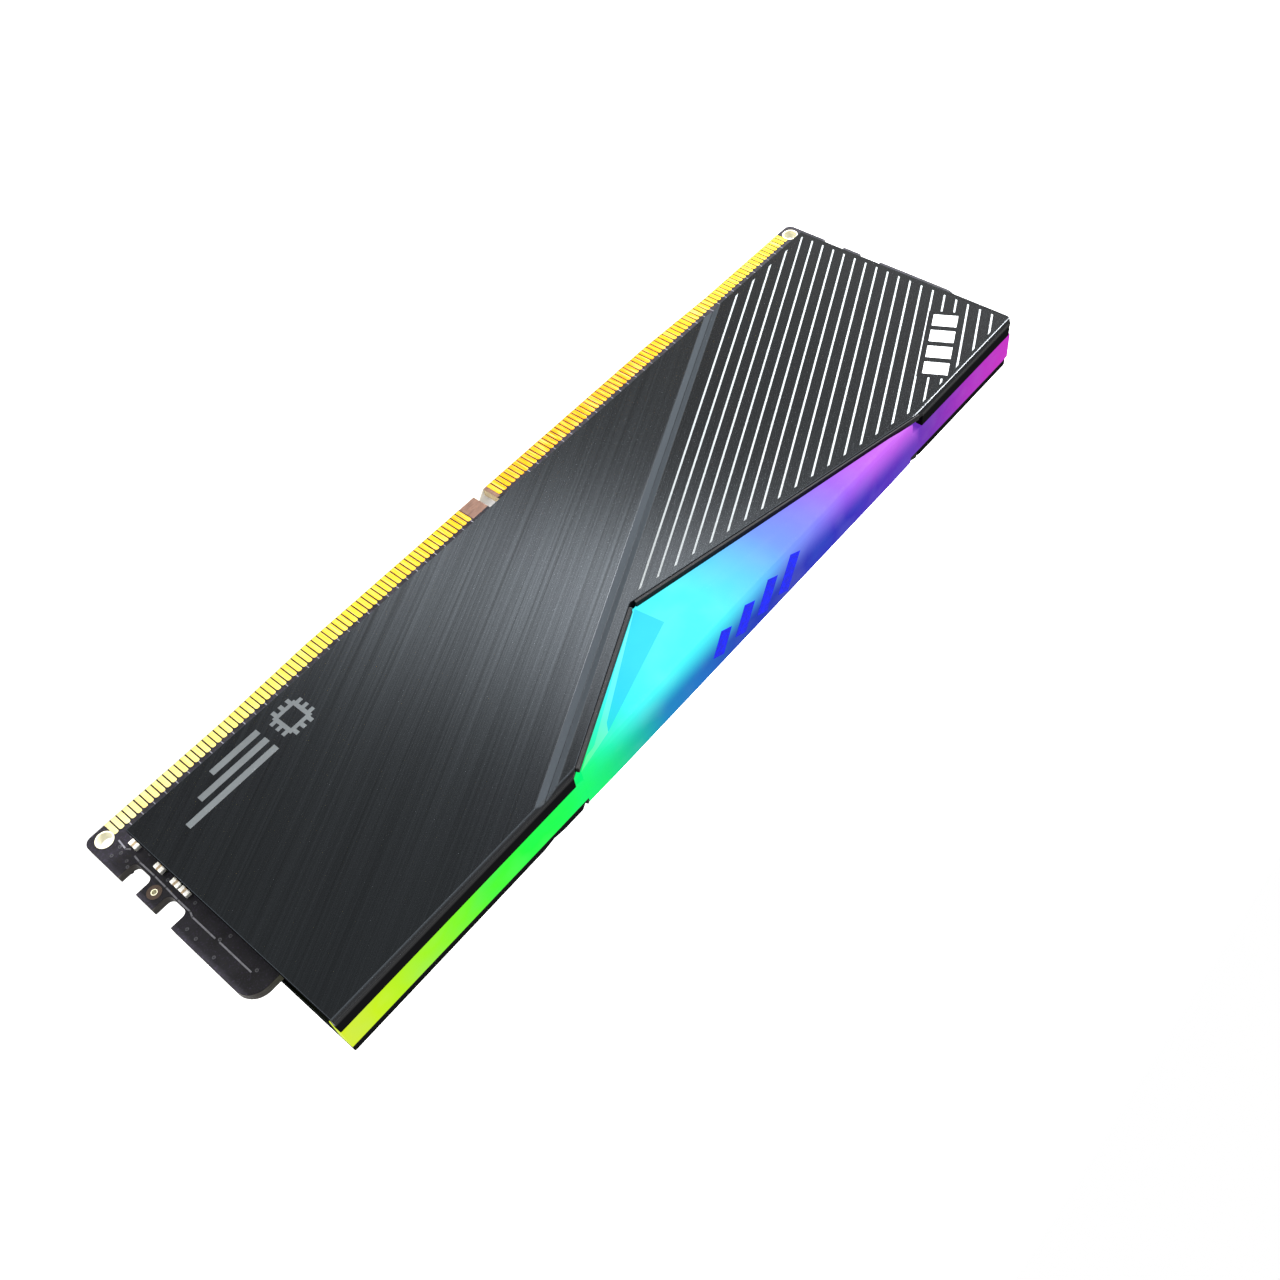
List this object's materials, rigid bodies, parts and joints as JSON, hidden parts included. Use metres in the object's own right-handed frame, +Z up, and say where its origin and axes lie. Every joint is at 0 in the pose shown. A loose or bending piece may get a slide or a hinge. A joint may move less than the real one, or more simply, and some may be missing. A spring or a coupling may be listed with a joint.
{
  "type": "ram module",
  "caption": "Desktop memory module: a gold-fingered circuit board between dark aluminium heat spreaders, with a faceted lit diffuser along the top.",
  "frame": {"origin": "middle of the contact edge, at the middle of the board's thickness", "axes": "+Z up out of the socket, +X along the module to the right seen from the front, front facing -Y"},
  "size_m": [0.1334, 0.008, 0.0415],
  "materials": {
    "laminate": "black solder mask over glass-fibre laminate",
    "gold_plating": "bright hard gold plating",
    "chip_body": "matt moulding compound",
    "ferrite": "pressed ferrite",
    "ceramic": "sintered ceramic with tinned ends",
    "lamp": "clear resin over a white cup",
    "thermal_pad": "soft grey silicone",
    "spreader_aluminium": "dark anodised, brushed along the slant, with bright engraved stripes",
    "diffuser": "milky plastic, lit from inside"
  },
  "bodies": {
    "root": {"circuit_board": "laminate", "contacts_front_left": "gold_plating", "contacts_front_right": "gold_plating", "contacts_back_left": "gold_plating", "contacts_back_right": "gold_plating", "memory_chip_1": "chip_body", "memory_chip_2": "chip_body", "memory_chip_3": "chip_body", "memory_chip_4": "chip_body", "memory_chip_5": "chip_body", "memory_chip_6": "chip_body", "memory_chip_7": "chip_body", "memory_chip_8": "chip_body", "power_management_chip": "chip_body", "spd_hub_chip": "chip_body", "light_controller_chip": "chip_body", "power_inductor_1": "ferrite", "power_inductor_2": "ferrite", "power_inductor_3": "ferrite", "end_capacitor_1": "ceramic", "end_capacitor_2": "ceramic", "end_capacitor_3": "ceramic", "end_capacitor_4": "ceramic", "foot_capacitor_1": "ceramic", "foot_capacitor_2": "ceramic", "foot_capacitor_3": "ceramic", "foot_capacitor_4": "ceramic", "led_1": "lamp", "led_2": "lamp", "led_3": "lamp", "led_4": "lamp", "led_5": "lamp", "led_6": "lamp", "led_7": "lamp", "led_8": "lamp", "led_9": "lamp", "led_10": "lamp", "front_thermal_pad_left": "thermal_pad", "front_thermal_pad_right": "thermal_pad", "back_thermal_pad": "thermal_pad", "power_thermal_pad": "thermal_pad", "front_heat_spreader": "spreader_aluminium", "back_heat_spreader": "spreader_aluminium", "light_diffuser": "diffuser"}
  },
  "joints": []
}
